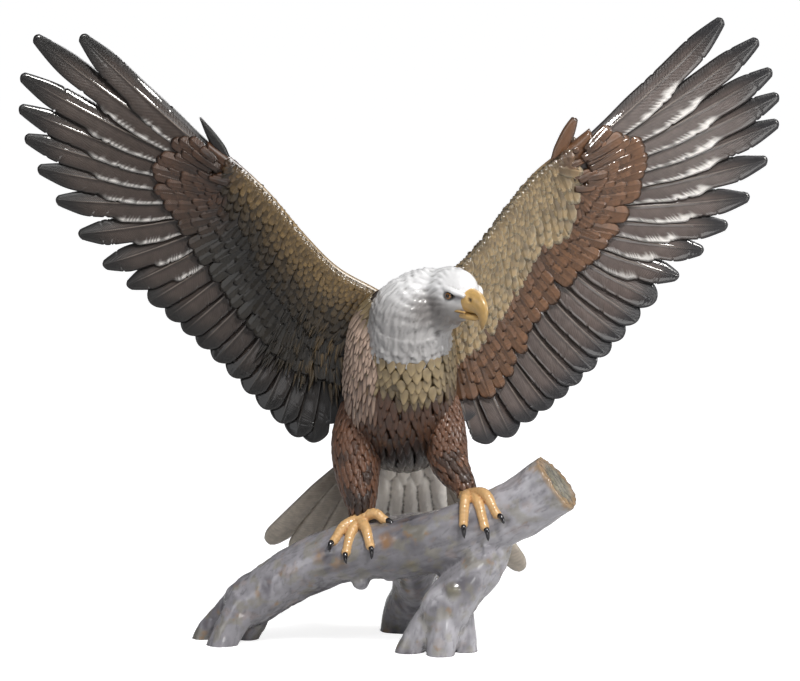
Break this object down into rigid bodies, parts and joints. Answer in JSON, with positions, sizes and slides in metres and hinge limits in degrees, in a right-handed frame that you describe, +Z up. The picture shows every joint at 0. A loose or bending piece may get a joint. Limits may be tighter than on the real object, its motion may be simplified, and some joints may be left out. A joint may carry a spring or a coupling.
{
  "type": "porcelain eagle sculpture",
  "caption": "Glazed porcelain eagle landing on a broken log, wings raised and spread, tail fanned behind; stands on the log's root-like feet.",
  "frame": {"origin": "on the floor, under the middle of the figure's outer box", "axes": "+X to the viewer's right along the wing span, +Y away from the viewer, +Z up"},
  "size_m": [0.7046, 0.2562, 0.5738],
  "materials": {
    "painted_porcelain": "clear gloss glaze over painted feather browns, white head and tail, ochre beak and feet, grey log"
  },
  "bodies": {
    "root": {"eagle_on_log": "painted_porcelain"}
  },
  "joints": []
}
